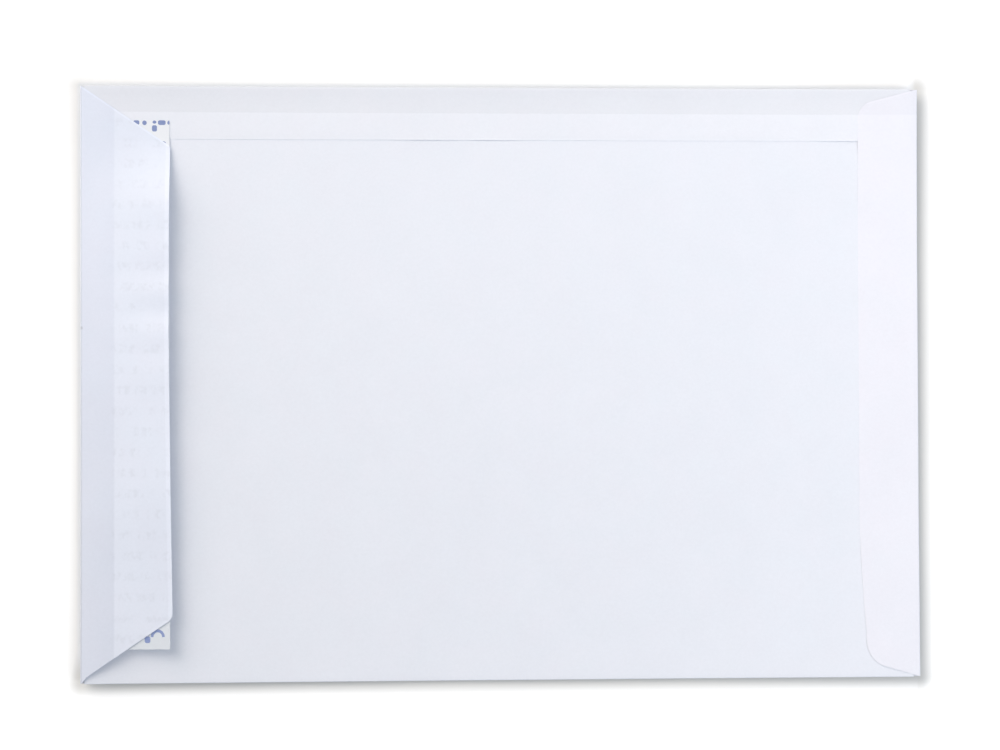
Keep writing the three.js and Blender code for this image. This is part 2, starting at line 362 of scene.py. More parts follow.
# %% [markdown]
# The outline of a flap is a straight slant that ends in a rounded corner. The half width at a
# distance from the fold follows from the circle that touches the slant and the free edge. The
# photo shows that the knife and the fold weren't quite true: the corners of each flap differ,
# the seal flap's free edge is a little hollow and reaches further at its lower end, where the
# slant is trimmed, and the bottom flap's free edge steps back towards its lower corner.

# %% Outlines of the two end flaps
FLAP_HALF = 114.2
SEAL_TAPER = 22.9
SEAL_RADII = {"upper": 2.4, "lower": 4.4}
SEAL_HOLLOW = 0.45
HOLLOW_HALF = 92.0
SEAL_LEAN = 1.1
SEAL_LEAN_START_Y = 20.0
SEAL_LEAN_RUN = 110.0
SHOULDER = 1.2
SHOULDER_RUN = 2.0
LOWER_CUT = 1.0
BOTTOM_TAPER = 6.0
BOTTOM_RADII = {"upper": 7.0, "lower": 10.5}
BOTTOM_LEAN = 2.4
BOTTOM_LEAN_START_Y = -45.0
BOTTOM_LEAN_RUN = 52.0


def half_width(distance, reach, taper, radius):
    """Half the width of a flap at a distance from its fold."""
    slope = taper / reach
    centre = reach - radius
    middle = FLAP_HALF - slope * centre - radius * math.hypot(1, slope)
    touch = centre + radius * slope / math.hypot(1, slope)
    if distance <= touch:
        return FLAP_HALF - slope * max(distance, 0)
    return middle + math.sqrt(max(radius ** 2 - (distance - centre) ** 2, 0))


def share(value):
    """The value, kept between 0 and 1."""
    return min(max(value, 0), 1)


def flap_row(y, distance, reach, taper, radii):
    """A row's place across, drawn in from the full width to the flap's width there."""
    radius = radii["upper"] if y > 0 else radii["lower"]
    return y * half_width(distance, reach, taper, radius) / FLAP_HALF


def seal_shift(across):
    """How far the seal flap's free edge steps back there, or reaches further if negative."""
    hollow = SEAL_HOLLOW * max(1 - (across / HOLLOW_HALF) ** 2, 0)
    return hollow - SEAL_LEAN * share((SEAL_LEAN_START_Y - across) / SEAL_LEAN_RUN)


def bottom_shift(across):
    """How far the bottom flap's free edge steps back there."""
    return share((BOTTOM_LEAN_START_Y - across) / BOTTOM_LEAN_RUN) ** 2 * BOTTOM_LEAN


print("seal flap", round(half_width(SEAL_REACH / 2, SEAL_REACH, SEAL_TAPER, 0), 1),
      "mm to each side half way along")

# %% The net of the blank
def add_net(bm, first, second, place):
    """A net of faces whose points are place(a, b) for each a in first and b in second."""
    points = [[bm.verts.new(place(a, b)) for b in second] for a in first]
    for i in range(len(first) - 1):
        for j in range(len(second) - 1):
            bm.faces.new((
                points[i][j], points[i + 1][j], points[i + 1][j + 1], points[i][j + 1],
            ))


def beyond(fold_level, flat_rows):
    """Distances in the flat blank: the half turn, then the flat part of the flap."""
    turn = fold_rows(fold_level)
    return turn + [turn[-1] + d for d in flat_rows[1:]]


def seal_place(d, y):
    """A flat place on the seal flap, at a distance d beyond its fold line."""
    distance = max(d - SEAL_TURN, 0)
    across = flap_row(y, distance, SEAL_REACH, SEAL_TAPER, SEAL_RADII)
    if y < 0:
        trimmed = SHOULDER * min(distance / SHOULDER_RUN, 1) + LOWER_CUT * distance / SEAL_REACH
        across *= 1 - trimmed / FLAP_HALF
    return (SEAL_FOLD_X - d + seal_shift(across) * distance / SEAL_REACH, across, 0)


def bottom_place(d, y):
    """A flat place on the bottom flap, at a distance d beyond its fold line."""
    distance = max(d - BOTTOM_TURN, 0)
    across = flap_row(y, distance, BOTTOM_REACH, BOTTOM_TAPER, BOTTOM_RADII)
    return (BOTTOM_FOLD_X + d - bottom_shift(across) * distance / BOTTOM_REACH, across, 0)


# %% The blank with its flat places as a UV map
BLANK_MAP = "blank"
MAP_SPAN = 1000.0


def blank_mesh():
    bm = bmesh.new()
    add_net(bm, columns, rows, lambda x, y: (x, y, 0))
    back = beyond(BACK_LEVEL, stations(0, BACK_EDGE_Y - BACK_FOLD_Y, SIDE_STEP))
    add_net(bm, pocket_columns, back[::-1], lambda x, d: (x, BACK_FOLD_Y - d, 0))
    side = beyond(SIDE_LEVEL, stations(0, SIDE_FOLD_Y - SIDE_EDGE_Y, SEAM_STEP))
    add_net(bm, pocket_columns, side, lambda x, d: (x, SIDE_FOLD_Y + d, 0))
    seal = beyond(RAISED_LEVEL, edge_rows(SEAL_REACH, SEAL_EDGE_ZONE, SEAL_EDGE_ROWS))
    add_net(bm, seal[::-1], rows, seal_place)
    bottom = beyond(SIDE_LEVEL, edge_rows(BOTTOM_REACH, BOTTOM_EDGE_ZONE, BOTTOM_EDGE_ROWS))
    add_net(bm, bottom, rows, bottom_place)
    bmesh.ops.remove_doubles(bm, verts=bm.verts, dist=1e-4)

    flat = bm.loops.layers.uv.new(BLANK_MAP)
    for face in bm.faces:
        for loop in face.loops:
            loop[flat].uv = loop.vert.co.xy / MAP_SPAN + Vector((0.5, 0.5))
    mesh = bpy.data.meshes.new("blank")
    bm.to_mesh(mesh)
    bm.free()
    return mesh


blank = blank_mesh()
print("the blank has", len(blank.polygons), "faces")

# %% [markdown]
# ## One fold
# Paper that turns over a fold keeps its length: up to the fold it stays where it was, then it
# goes round half a circle, and past that it runs back above itself. So a point's distance
# beyond the fold line is all that is needed. The small tree gives how far the point is pulled
# back and how far it rises, and serves all four folds.

# %% Tree: turn over a fold
fold_tree, make = new_tree(
    "Turn over a fold", numbers("Distance", "Level"), numbers("Pulled back", "Rise"),
)
distance = make.sockets["Distance"]
level = make.sockets["Level"]
radius = level / 2
angle = make.clamp(distance / radius, 0.0, math.pi)
after_turn = make.math("MAXIMUM", distance - radius * math.pi, 0.0)
along = make.math("MINIMUM", distance, 0.0) + radius * make.math("SINE", angle) - after_turn
close_tree(make, {
    "Pulled back": distance - along,
    "Rise": radius * (1 - make.math("COSINE", angle)),
})
print("fold tree:", len(fold_tree.nodes), "nodes")

# %% [markdown]
# ## How the envelope lies
# Paper is never quite flat. The middle of the pocket touches the table, and its folded edges
# stand a little off it, the corners most. That is why the real one has a soft shadow all round.
# Every piece adds this small rise, so the layers stay the same distance apart.

# %% Tree: lie of the paper
LIE_POWER = 3.0
SIDES_SHARE = 0.85

lie_tree, make = new_tree(
    "Lie of the paper", numbers("X", "Y", "Edge rise"), numbers("Rise"),
)
x = make.sockets["X"]
y = make.sockets["Y"]
to_end = make.math("ABSOLUTE", x / HALF_LENGTH) ** LIE_POWER
to_side = make.math("ABSOLUTE", y / HALF_WIDTH) ** LIE_POWER
uneven = make.noise(make.vector(x, y, 0.0), scale=0.012, detail=1.0) + 1.0
rise = make.sockets["Edge rise"] * (to_end + to_side * SIDES_SHARE) * uneven
close_tree(make, {"Rise": rise})
print("lie tree:", len(lie_tree.nodes), "nodes")


def lie(maker, x, y):
    """The paper's lie at a place, inside another tree that has the input."""
    values = {"X": x, "Y": y, "Edge rise": maker.sockets["Edge rise"]}
    return maker.node("GeometryNodeGroup", {"node_tree": lie_tree}, values)


# %% [markdown]
# ## The seal flap's rise
# The unsealed flap springs open by a few millimetres. It is held down at the side seam, where
# the pocket is stiffest, and stands fuller near its fold at the lower end. In between it
# buckles softly. The same rise carries the adhesive, the liner and the print under the flap,
# so it is a tree of its own: they stay parallel.

# %% Tree: rise of the seal flap
RISE_INPUTS = {
    "Lift": 4.4,
    "Lift at the seam": 0.3,
    "Wave height": 0.25,
    "Buckle height": 0.42,
    "Edge rise": 1.35,
}
LIFT_START_Y = 95.0
LIFT_RUN = 29.0
SEAM_LIFT_REACH = 0.3
LOW_END_START_Y = 20.0
LOW_END_Y = -90.0
LOW_END_LOSS = 0.12
LOW_END_FULLNESS = 0.3
WAVE_LENGTH = 58.0
BUCKLE_LENGTH = 16.5
BUCKLE_MIDDLE_Y = 31.0
BUCKLE_TOP_Y = 43.9
BUCKLE_SPREAD = 22.0
UNEVEN_HEIGHT = 0.5

rise_tree, make = new_tree(
    "Rise of the seal flap", numbers("X", "Y", *RISE_INPUTS), numbers("Rise"),
)
x = make.sockets["X"]
y = make.sockets["Y"]
reach = make.clamp((x - SEAL_FOLD_X) / SEAL_REACH, 0.0, 1.05)
at_seam = make.sockets["Lift at the seam"]
grown = make.ease(LIFT_START_Y - y, 0.0, LIFT_RUN)
low_end = make.ease(y, LOW_END_START_Y, LOW_END_Y)
fullness = grown * (1 - low_end * LOW_END_LOSS) * reach ** (1 - low_end * LOW_END_FULLNESS)
lift = at_seam * make.ease(reach, 0.0, SEAM_LIFT_REACH)
lift = lift + (make.sockets["Lift"] - at_seam) * fullness
wave = make.sockets["Wave height"] * grown * make.math("SINE", y * (2 * math.pi / WAVE_LENGTH))
window = make.math("EXPONENT", ((y - BUCKLE_MIDDLE_Y) / BUCKLE_SPREAD) ** 2.0 * -1.0)
buckles = make.math("COSINE", (y - BUCKLE_TOP_Y) * (2 * math.pi / BUCKLE_LENGTH))
buckling = make.sockets["Buckle height"] * buckles * window * reach * reach
uneven = make.noise(make.vector(x * 0.4, y, 0.0), scale=0.045, detail=1.0)
uneven = uneven * grown * reach * reach * UNEVEN_HEIGHT
close_tree(make, {"Rise": lift + wave * reach - buckling + uneven + lie(make, x, y)})
print("rise tree:", len(rise_tree.nodes), "nodes")


def seal_rise(maker, x, y):
    """The rise at a place, inside another tree that has the same named inputs."""
    values = {"X": x, "Y": y}
    values.update({name: maker.sockets[name] for name in RISE_INPUTS})
    return maker.node("GeometryNodeGroup", {"node_tree": rise_tree}, values)


# %% [markdown]
# ## Folding the sheet
# The main tree moves each point of the blank over its fold. A point near a fold is only part
# of the way round, so each fold also gives a share from 0 to 1 of how far it has come over.
# The later steps use these shares to tell the layers apart.

# %% Tree: fold the blank
FOLD_INPUTS = {
    "Thickness": PAPER,
    "Back level": BACK_LEVEL,
    "Side level": SIDE_LEVEL,
    "Raised level": RAISED_LEVEL,
    "Puff": 1.2,
    "Cockle": 0.35,
    "Seam dip": 0.1,
    "Edge lift": 0.16,
}

sheet_tree, make = new_tree(
    "Fold the blank",
    [("Blank", "geometry")] + numbers(*FOLD_INPUTS, *RISE_INPUTS) + [("Paper", "material")],
    [("Sheet", "geometry")],
)
flat_x, flat_y = make.point()


def over_fold(maker, distance, level):
    """What a fold does to a point at that distance beyond it."""
    values = {"Distance": distance, "Level": level}
    return maker.node("GeometryNodeGroup", {"node_tree": fold_tree}, values, "Pulled back")


back_level = make.sockets["Back level"]
side_level = make.sockets["Side level"]
raised_level = make.sockets["Raised level"]
over_back = over_fold(make, BACK_FOLD_Y - flat_y, back_level)
over_side = over_fold(make, flat_y - SIDE_FOLD_Y, side_level)
over_bottom = over_fold(make, flat_x - BOTTOM_FOLD_X, side_level)
over_seal = over_fold(make, SEAL_FOLD_X - flat_x, raised_level)
x = flat_x - over_bottom + over_seal
y = flat_y + over_back - over_side
turned = (
    over_back.out("Rise") + over_side.out("Rise")
    + over_bottom.out("Rise") + over_seal.out("Rise")
)
on_back = over_back.out("Rise") / back_level
on_side = over_side.out("Rise") / side_level
on_bottom = over_bottom.out("Rise") / side_level
on_seal = over_seal.out("Rise") / raised_level
print("sheet tree with its folds:", len(sheet_tree.nodes), "nodes")

# %% [markdown]
# Then the tree adds what paper does by itself. The empty pocket puffs up a little, with soft
# cockles. The side flap dips where it comes off the edge of the layer under it. The free edges
# beyond the gum are pressed down nearly everywhere and stand a little open in a few places,
# which makes the thin dark lines of the seams. The bottom flap climbs onto the side flap.

# %% The same tree: the pocket and the free edges
DIP_EDGES = (BACK_EDGE_Y + 0.2, BACK_EDGE_Y + 2.2)
DIP_ENDS = (113.6, 111.0)
CLOSE_EDGE = 0.065
OPEN_PLACES = ((-30.0, 11.0), (-4.0, 8.0), (135.0, 8.0))
PATCH_GAIN = 1.5
SIDE_FREE = 2.2
BOTTOM_FREE = 3.0
BOTTOM_PATCH_GAIN = 3.0
BOTTOM_OPEN = 0.1
CORNER_LIFT = 0.16
CORNER_Y = (-98.0, -109.0)
CORNER_X = (160.0, 150.0)
UNDER_FLAP_X = (HIDDEN_END_X - 24.0, HIDDEN_END_X - 20.0)

place = make.vector(x, y, 0.0)
along_pocket = make.clamp((x - MOUTH_X) / (BOTTOM_EDGE_X - MOUTH_X))
across_pocket = make.clamp((y - BACK_FOLD_Y) / (SIDE_EDGE_Y - BACK_FOLD_Y))
dome = make.math("SINE", along_pocket * math.pi) * make.math("SINE", across_pocket * math.pi)
cockle = make.noise(place, scale=0.014, detail=1.0) * make.sockets["Cockle"]
puff = dome * (make.sockets["Puff"] + cockle)

dip = make.ease(y, *DIP_EDGES) * make.ease(y, *DIP_ENDS) * make.sockets["Seam dip"]
patches = make.noise(make.vector(x, 0.0, 0.0), scale=0.045, detail=2.0)
patchy = make.clamp(patches * PATCH_GAIN)
for middle, spread in OPEN_PLACES:
    patchy = patchy + make.math("EXPONENT", ((x - middle) / spread) ** 2.0 * -1.0)
side_free = make.ease(y, SIDE_EDGE_Y + SIDE_FREE, SIDE_EDGE_Y)
side_lift = side_free * (patchy * make.sockets["Edge lift"] - CLOSE_EDGE)
left_of_flap = 1 - make.ease(x, *UNDER_FLAP_X)

patches = make.noise(place, scale=0.035, detail=1.0)
bottom_patchy = make.clamp(patches * BOTTOM_PATCH_GAIN)
bottom_free = make.ease(x, BOTTOM_EDGE_X + BOTTOM_FREE, BOTTOM_EDGE_X)
bottom_lift = bottom_free * (bottom_patchy * BOTTOM_OPEN - CLOSE_EDGE)
corner_lift = make.ease(y, *CORNER_Y) * make.ease(x, *CORNER_X) * CORNER_LIFT
print("sheet tree with its edges:", len(sheet_tree.nodes), "nodes")

# %% The same tree: heights, and the folded sheet
STEP_FOOT_Y = 84.1
STEP_RUN = 8.0


def seam_step(maker, x, y):
    """The climb onto the side flap, for what lies on it beyond the bottom fold."""
    away = maker.clamp((BOTTOM_FOLD_X - x) / (BOTTOM_FOLD_X - HIDDEN_END_X))
    climb = maker.ease(y, STEP_FOOT_Y, STEP_FOOT_Y + STEP_RUN)
    return away * climb * (RAISED_LEVEL - SIDE_LEVEL)


rise = (
    turned
    + (1 - on_seal) * lie(make, x, y)
    + on_back * puff
    + on_side * (side_lift * left_of_flap - dip)
    + on_bottom * (seam_step(make, x, y) + bottom_lift + corner_lift)
    + on_seal * seal_rise(make, x, y)
)
z = rise + make.sockets["Thickness"] / 2
folded = finished(make, make.sockets["Blank"], make.vector(x, y, z), "Paper")
close_tree(make, {"Sheet": folded})
print("whole sheet tree:", len(sheet_tree.nodes), "nodes")

# %% [markdown]
# ## White paper
# The paper is uncoated and bright, with a cool tint. The layers' tones are painted light and
# shade for the light that passes through thin paper: where a layer lies on more layers, less
# light is lost behind it, so the seams and the bottom flap are painted the whitest, and the seal
# flap, with only air behind it, is painted the greyest. The liner shows through the flap as a
# painted lighter band. The zones are told apart by the flat places in the UV map, because
# layers lie over each other.

# %% Material helpers
def new_material(name):
    material = bpy.data.materials.new(name)
    material.use_nodes = True
    material.node_tree.nodes.clear()
    return material, Maker(material.node_tree)


def mixed(maker, factor, first, second):
    """A colour between two."""
    return maker.node("ShaderNodeMix", {"data_type": "RGBA"}, {
        "Factor": factor, "A": first, "B": second,
    })


def multiplied(maker, first, second):
    """A colour times another."""
    return maker.node("ShaderNodeMix", {"data_type": "RGBA", "blend_type": "MULTIPLY"}, {
        "Factor": 1.0, "A": first, "B": second,
    })


def toned(maker, colour, factor):
    """A colour times a number that varies around 1."""
    grey = maker.node("ShaderNodeCombineColor", {}, {
        "Red": factor, "Green": factor, "Blue": factor,
    })
    return multiplied(maker, colour, grey)


def millimetres(maker):
    """The object's own coordinates in millimetres, as x, y and the vector."""
    place = maker.node("ShaderNodeTexCoord", {}, {}, "Object")
    scaled = maker.node("ShaderNodeVectorMath", {"operation": "SCALE"}, {
        "Vector": place, "Scale": 1 / MM,
    })
    x = maker.node("ShaderNodeSeparateXYZ", {}, {"Vector": scaled}, "X")
    return x, x.out("Y"), scaled


def finish_material(maker, colour, roughness, normal, specular):
    shader = maker.node("ShaderNodeBsdfPrincipled", {}, {
        "Base Color": colour, "Roughness": roughness, "Normal": normal,
        "Specular IOR Level": specular,
    })
    maker.node("ShaderNodeOutputMaterial", {}, {"Surface": shader})


def paper_bump(maker, place, depth):
    """Fine fibres and a faint cloudy surface, of a depth in metres."""
    fibres = maker.noise(place, scale=2.2, detail=3.0, roughness=0.6)
    clouds = maker.noise(place, scale=0.35, detail=2.0)
    return maker.node("ShaderNodeBump", {}, {
        "Strength": 0.5, "Distance": depth, "Height": fibres + clouds,
    })


# %% Tones of the paper
BACK_TONE = (0.80, 0.82, 0.885, 1)
# the layers' tones below carry painted light and shade for light through the paper: whiter where
# more paper lies behind, greyest on the open seal flap
SEAM_SINGLE_TONE = (0.76, 0.775, 0.83, 1)
SEAM_DOUBLE_TONE = (0.81, 0.825, 0.885, 1)
BOTTOM_TONE = (0.83, 0.83, 0.895, 1)
BOTTOM_MARGIN_TONE = (0.805, 0.805, 0.87, 1)
SEAL_TONE = (0.745, 0.78, 0.885, 1)
SEAL_LINER_TONE = (0.785, 0.82, 0.918, 1)
FRONT_TONE = (0.80, 0.81, 0.865, 1)
FORMATION = 0.045
FIBRES = 0.05
# painted light: the tone is lighter towards the upper right and darker towards the bottom
PAINTED_LIGHT_SLOPE_X = 0.00014
PAINTED_LIGHT_SLOPE_Y = 0.00050
# painted shade on the seal flap, deeper towards its lower end, less over the liner
OPEN_SHADE = 0.075
OPEN_SHADE_OVER_LINER = 0.04
OPEN_SHADE_RUN = 190.0
COOL_TINT = (0.994, 1.0, 1.004, 1)
WARM_TINT = (1.004, 0.997, 1.002, 1)
PAPER_BUMP = 0.00002
PAST_FOLD = 0.8


def layer_zones(flat_x, flat_y):
    """Where each layer is in the blank, as 0 or 1, from about half way round its fold."""
    return {
        "back": flat_y < BACK_FOLD_Y - BACK_LEVEL * PAST_FOLD,
        "side": flat_y > SIDE_FOLD_Y + SIDE_LEVEL * PAST_FOLD,
        "bottom": flat_x > BOTTOM_FOLD_X + SIDE_LEVEL * PAST_FOLD,
        "seal": flat_x < SEAL_FOLD_X - RAISED_LEVEL * PAST_FOLD,
    }


def layer_colour(make, zone, over_layer, over_liner):
    """The tone of each layer, with painted light where it lies on another one or on the liner."""
    colour = mixed(make, zone["back"], FRONT_TONE, BACK_TONE)
    for name, covers, single_tone, double_tone in (
        ("side", over_layer, SEAM_SINGLE_TONE, SEAM_DOUBLE_TONE),
        ("bottom", over_layer, BOTTOM_MARGIN_TONE, BOTTOM_TONE),
        ("seal", over_liner, SEAL_TONE, SEAL_LINER_TONE),
    ):
        tone = mixed(make, covers, single_tone, double_tone)
        colour = mixed(make, zone[name], colour, tone)
    return colour


# %% [markdown]
# Thin paper lets the print behind it show as a faint grey blur. The marks come from noise that
# is cut off at a height, once for the marks and once for groups of them, kept to rows.

# %% The print of the liner, seen through the flap
SHOW_EDGE_X = -148.4
ROW_PITCH = 7.9
FIRST_ROW_Y = 100.3
SEEN_PRINT = 0.05


def seen_print(make, x, y):
    """Blurred marks in rows, in broken groups."""
    line = (y - FIRST_ROW_Y) / ROW_PITCH
    row = make.math("ROUND", line)
    in_row = make.ease(make.math("ABSOLUTE", line - row), 0.30, 0.12)
    group_place = make.vector(x * 0.3, row * 3.7, 0.0)
    groups = make.ease(make.noise(group_place, scale=1.0, detail=1.0), -0.14, 0.1)
    mark_place = make.vector(x * 0.6, y * 0.45, 5.0)
    marks = make.ease(make.noise(mark_place, scale=1.0, detail=1.0), -0.14, 0.16)
    printed = make.ease(x, SHOW_EDGE_X - 3.2, SHOW_EDGE_X + 0.4)
    return in_row * groups * marks * printed * SEEN_PRINT


# %% [markdown]
# A cut edge catches the light as a thin bright line, too thin for the picture to catch from the
# shape alone, so a painted highlight in the tone helps it along. A crease gets painted shade.

# %% Light rims and shaded folds
SEAL_SLOPE = SEAL_TAPER / SEAL_REACH
BOTTOM_SLOPE = BOTTOM_TAPER / BOTTOM_REACH
CUT_RIM = (0.9, 0.4)
FREE_RIM = (1.9, 1.4)
# painted highlights along the cut edges, as shares of the paper's tone
SLANT_LIGHT = 0.075
FREE_LIGHT = 0.04
BOTTOM_LIGHT = 0.05
SIDE_LIGHT = 0.018
# painted shade on the creases where the folds turn
SEAL_CREASE_SHADE = 0.14
SIDE_CREASE_SHADE = 0.2
NICK_Y = 21.5
NICK = 0.15


def rim_light(make, y, flat_x, flat_y, zone):
    """Painted highlights on the cut edges, and on the seal flap's rim past the adhesive."""
    past_seal = SEAL_FOLD_X - flat_x - SEAL_TURN
    to_slant = (FLAP_HALF - past_seal * SEAL_SLOPE - flat_y) / math.hypot(1, SEAL_SLOPE)
    hollow = make.clamp(1 - (y / HOLLOW_HALF) ** 2.0) * SEAL_HOLLOW
    lean = make.clamp((SEAL_LEAN_START_Y - y) / SEAL_LEAN_RUN) * SEAL_LEAN
    to_free_edge = SEAL_REACH - hollow + lean - past_seal
    past_bottom = flat_x - BOTTOM_FOLD_X - BOTTOM_TURN
    to_top = FLAP_HALF - past_bottom * BOTTOM_SLOPE - flat_y
    seal = make.ease(to_slant, *CUT_RIM) * SLANT_LIGHT
    seal = seal + make.ease(to_free_edge, *FREE_RIM) * FREE_LIGHT
    bottom = make.ease(to_top, *CUT_RIM) * BOTTOM_LIGHT
    side = make.ease(y - SIDE_EDGE_Y, *CUT_RIM) * SIDE_LIGHT
    return seal * zone["seal"] + bottom * zone["bottom"] + side * zone["side"]


def fold_shade(make, y, flat_x, flat_y):
    """Painted shade on the creases of the seal fold and the side fold, and a small dark spot in
    the first.
    """
    past_seal = SEAL_FOLD_X - flat_x - SEAL_TURN
    crease = make.ease(past_seal, 0.3, 0.0) * SEAL_CREASE_SHADE
    nick = make.ease(make.math("ABSOLUTE", y - NICK_Y), 0.8, 0.3)
    nick = nick * make.ease(past_seal, 0.7, 0.2) * NICK
    past_side = flat_y - SIDE_FOLD_Y
    side_crease = make.ease(past_side, 0.0, 0.2) * make.ease(past_side, 1.0, 0.7) * SIDE_CREASE_SHADE
    return (crease + nick) * (flat_x < SEAL_FOLD_X) + side_crease


# %% The paper as a whole
def envelope_paper():
    material, make = new_material("envelope_paper")
    x, y, place = millimetres(make)
    flat = make.node("ShaderNodeUVMap", {"uv_map": BLANK_MAP})
    parts = make.node("ShaderNodeSeparateXYZ", {}, {"Vector": flat}, "X")
    flat_x = (parts - 0.5) * MAP_SPAN
    flat_y = (parts.out("Y") - 0.5) * MAP_SPAN
    zone = layer_zones(flat_x, flat_y)
    blur = make.noise(place, scale=0.6, detail=2.0) * 0.5
    over_layer = make.ease(y + blur, BACK_EDGE_Y + 0.2, BACK_EDGE_Y - 0.2)
    over_liner = make.ease(x + blur, SHOW_EDGE_X - 1.2, SHOW_EDGE_X - 0.1)
    colour = layer_colour(make, zone, over_layer, over_liner)

    formation = make.noise(place, scale=0.05, detail=4.0, roughness=0.6) * FORMATION
    fibres = make.noise(place, scale=0.9, detail=3.0) * FIBRES
    # a painted light slope, lighter towards the upper right
    slope = x * PAINTED_LIGHT_SLOPE_X + y * PAINTED_LIGHT_SLOPE_Y
    # painted shade on the open seal flap, deeper towards its lower end
    open_shade = OPEN_SHADE - over_liner * (OPEN_SHADE - OPEN_SHADE_OVER_LINER)
    open_shade = open_shade * make.ease(LIFT_START_Y - y, 0.0, OPEN_SHADE_RUN)
    shade = (open_shade + seen_print(make, x, y)) * zone["seal"]
    shade = shade + fold_shade(make, y, flat_x, flat_y)
    light = rim_light(make, y, flat_x, flat_y, zone)
    colour = toned(make, colour, 1.0 + formation + fibres + slope + light - shade)

    warmer = make.clamp(make.noise(place, scale=0.08, detail=2.0) * 2.0 + 0.5)
    colour = multiplied(make, colour, mixed(make, warmer, COOL_TINT, WARM_TINT))
    roughness = make.noise(place, scale=0.8, detail=2.0) * 0.08 + 0.82
    finish_material(make, colour, roughness, paper_bump(make, place, PAPER_BUMP), specular=0.25)
    return material


paper = envelope_paper()
print("paper:", len(paper.node_tree.nodes), "nodes")

# %% The folded sheet
sheet = new_object("folded_sheet", blank)
add_nodes_modifier(sheet, sheet_tree, {**FOLD_INPUTS, **RISE_INPUTS, "Paper": paper})
settle(sheet, PAPER)

# %% [markdown]
# ## Strips under the seal flap
# A film of adhesive runs along the inside of the flap under a release liner of silicone
# paper, whose square ends stick out past the slanted edges. Both are flat strips that
# follow the flap, so one tree makes them from a grid, at their own depths. A strip with a trim
# keeps that far inside the slants, as the adhesive does. The liner has none.

# %% Tree: strip under the flap
STRIP_INPUTS = {
    "Start": LINER_START_X,
    "End": LINER_END_X,
    "Half length": LINER_HALF,
    "Depth": STRIP_GAP,
    "Trim": 0.0,
    "Skew": SKEW,
}
STRIP_COLUMNS = 13
STRIP_ROWS = 121
LEAST_TRIM = 0.001

strip_tree, make = new_tree(
    "Strip under the flap",
    [("Start mesh", "geometry")] + numbers(*STRIP_INPUTS, *RISE_INPUTS) + [("Finish", "material")],
    [("Strip", "geometry")],
)
grid = make.node("GeometryNodeMeshGrid", {}, {
    "Size X": 1.0, "Size Y": 2.0, "Vertices X": STRIP_COLUMNS, "Vertices Y": STRIP_ROWS,
})
unit_x, unit_y = make.point()
start = make.sockets["Start"]
half_length = make.sockets["Half length"]
trim = make.sockets["Trim"]
x = start + (unit_x + 0.5) * (make.sockets["End"] - start)
inside = FLAP_HALF - (x - SEAL_FOLD_X) * SEAL_SLOPE - trim
untrimmed = trim < LEAST_TRIM
trimmed_half = make.math("MINIMUM", half_length, inside)
y = unit_y * (half_length * untrimmed + trimmed_half * (1 - untrimmed))
x = x + make.sockets["Skew"] * y
z = RAISED_LEVEL + seal_rise(make, x, y) - make.sockets["Depth"]
strip = finished(make, grid, make.vector(x, y, z), "Finish")
close_tree(make, {"Strip": strip})
print("strip tree:", len(strip_tree.nodes), "nodes")


# %% [markdown]
# The liner, the adhesive and the gum are smooth films beside the rough paper. Their noise is
# faint, and their lower roughness gives them a soft gloss.

# %% Finishes of the strips
FILM_BUMP = 0.00001
LINER_TONE = (0.86, 0.875, 0.915, 1)
LINER_LOW_TONE = (0.665, 0.695, 0.74, 1)
LINER_SHADE_Y = (-20.0, -100.0)
ADHESIVE_TONE = (0.74, 0.73, 0.68, 1)
GUM_TONE = (0.73, 0.69, 0.58, 1)


def liner_paper():
    """Smooth coated paper, greyer at its lower end, where the flap keeps the light off."""
    material, make = new_material("liner_paper")
    _, y, place = millimetres(make)
    colour = mixed(make, make.ease(y, *LINER_SHADE_Y), LINER_TONE, LINER_LOW_TONE)
    colour = toned(make, colour, make.noise(place, scale=0.5, detail=3.0) * 0.03 + 1.0)
    roughness = make.noise(place, scale=0.6, detail=2.0) * 0.08 + 0.45
    finish_material(make, colour, roughness, paper_bump(make, place, FILM_BUMP), specular=0.4)
    return material


def seal_adhesive():
    """A tacky film with streaks along the strip."""
    material, make = new_material("seal_adhesive")
    x, y, place = millimetres(make)
    streaks = make.noise(make.vector(x * 2.0, y * 0.15, 0.0), scale=1.0, detail=2.0)
    colour = toned(make, ADHESIVE_TONE, streaks * 0.06 + 1.0)
    roughness = make.noise(place, scale=0.7, detail=2.0) * 0.1 + 0.25
    finish_material(make, colour, roughness, paper_bump(make, place, FILM_BUMP), specular=0.5)
    return material


def dried_gum():
    """A blotchy, slightly glossy film."""
    material, make = new_material("dried_gum")
    _, _, place = millimetres(make)
    colour = toned(make, GUM_TONE, make.noise(place, scale=0.5, detail=3.0) * 0.1 + 1.0)
    roughness = make.noise(place, scale=0.9, detail=2.0) * 0.15 + 0.35
    finish_material(make, colour, roughness, paper_bump(make, place, FILM_BUMP), specular=0.5)
    return material


# %% The adhesive and the liner
def flap_strip(name, thickness, material, values):
    piece = new_object(name, bpy.data.meshes.new(name))
    add_nodes_modifier(piece, strip_tree, {
        **STRIP_INPUTS, **RISE_INPUTS, **values, "Finish": material,
    })
    return settle(piece, thickness)


adhesive = flap_strip("adhesive_strip", ADHESIVE, seal_adhesive(), {
    "Start": LINER_START_X + ADHESIVE_INSET,
    "End": LINER_END_X - ADHESIVE_INSET,
    "Half length": LINER_HALF - ADHESIVE_INSET,
    "Depth": STRIP_GAP + ADHESIVE / 2,
    "Trim": ADHESIVE_INSET,
})
LINER_DEPTH = 2 * STRIP_GAP + ADHESIVE + LINER / 2
liner = flap_strip("release_liner_strip", LINER, liner_paper(), {"Depth": LINER_DEPTH})

